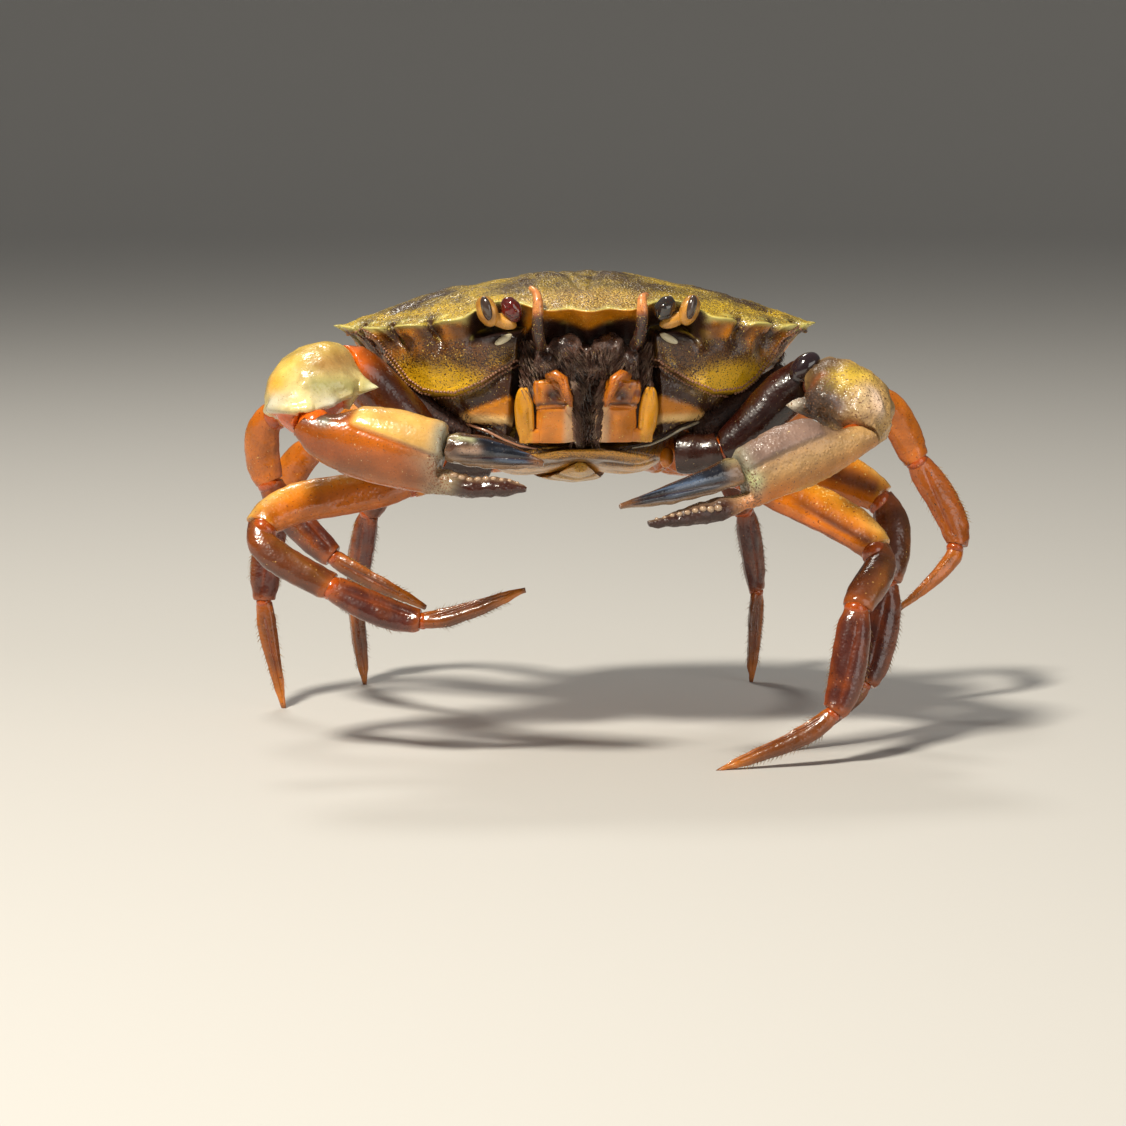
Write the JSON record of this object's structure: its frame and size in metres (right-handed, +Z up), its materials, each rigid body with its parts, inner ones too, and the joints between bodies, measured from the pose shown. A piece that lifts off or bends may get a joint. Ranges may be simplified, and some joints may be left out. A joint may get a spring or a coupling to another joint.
{
  "type": "european shore crab",
  "caption": "Life-size still model of a European shore crab, standing on its walking legs with its claws folded in front of its mouth.",
  "frame": {"origin": "on the floor, below the middle of the crab's outline seen from above", "axes": "the crab faces -Y, its own left side is +X, +Z is up"},
  "size_m": [0.0882, 0.066, 0.0546],
  "materials": {
    "shell_olive": "wet olive-yellow shell with dark brown mottling",
    "shell_under": "wet tan-yellow shell",
    "mouth_brown": "dark brown, hairy",
    "mouth_orange": "wet orange shell",
    "eye_stalk": "orange stalk with a dark glossy cornea",
    "feeler": "orange-red",
    "claw_orange": "wet orange to cream shell",
    "finger_slate": "wet slate blue to brown",
    "leg_orange": "wet orange shell",
    "leg_brown": "wet maroon-brown shell with orange joints"
  },
  "bodies": {
    "root": {"carapace": "shell_olive", "sternum": "shell_under", "abdomen": "shell_under", "epistome": "mouth_brown", "maxilliped_right": "mouth_orange", "maxilliped_left": "mouth_orange", "eye_right": "eye_stalk", "eye_left": "eye_stalk", "antenna_right": "feeler", "antenna_left": "feeler", "cheliped_right_base": "claw_orange", "cheliped_right_merus": "claw_orange", "cheliped_right_carpus": "claw_orange", "cheliped_right_palm": "claw_orange", "cheliped_right_finger": "finger_slate", "cheliped_left_base": "claw_orange", "cheliped_left_merus": "claw_orange", "cheliped_left_carpus": "claw_orange", "cheliped_left_palm": "claw_orange", "cheliped_left_finger": "finger_slate", "leg1_right_base": "leg_orange", "leg1_right_merus": "leg_orange", "leg1_right_carpus": "leg_orange", "leg1_right_propodus": "leg_brown", "leg1_right_dactyl": "leg_brown", "leg1_left_base": "leg_orange", "leg1_left_merus": "leg_orange", "leg1_left_carpus": "leg_orange", "leg1_left_propodus": "leg_brown", "leg1_left_dactyl": "leg_brown", "leg2_right_base": "leg_orange", "leg2_right_merus": "leg_orange", "leg2_right_carpus": "leg_orange", "leg2_right_propodus": "leg_brown", "leg2_right_dactyl": "leg_brown", "leg2_left_base": "leg_orange", "leg2_left_merus": "leg_orange", "leg2_left_carpus": "leg_orange", "leg2_left_propodus": "leg_brown", "leg2_left_dactyl": "leg_brown", "leg3_right_base": "leg_orange", "leg3_right_merus": "leg_orange", "leg3_right_carpus": "leg_orange", "leg3_right_propodus": "leg_brown", "leg3_right_dactyl": "leg_brown", "leg3_left_base": "leg_orange", "leg3_left_merus": "leg_orange", "leg3_left_carpus": "leg_orange", "leg3_left_propodus": "leg_brown", "leg3_left_dactyl": "leg_brown", "leg4_right_base": "leg_orange", "leg4_right_merus": "leg_orange", "leg4_right_carpus": "leg_orange", "leg4_right_propodus": "leg_brown", "leg4_right_dactyl": "leg_brown", "leg4_left_base": "leg_orange", "leg4_left_merus": "leg_orange", "leg4_left_carpus": "leg_orange", "leg4_left_propodus": "leg_brown", "leg4_left_dactyl": "leg_brown"}
  },
  "joints": []
}
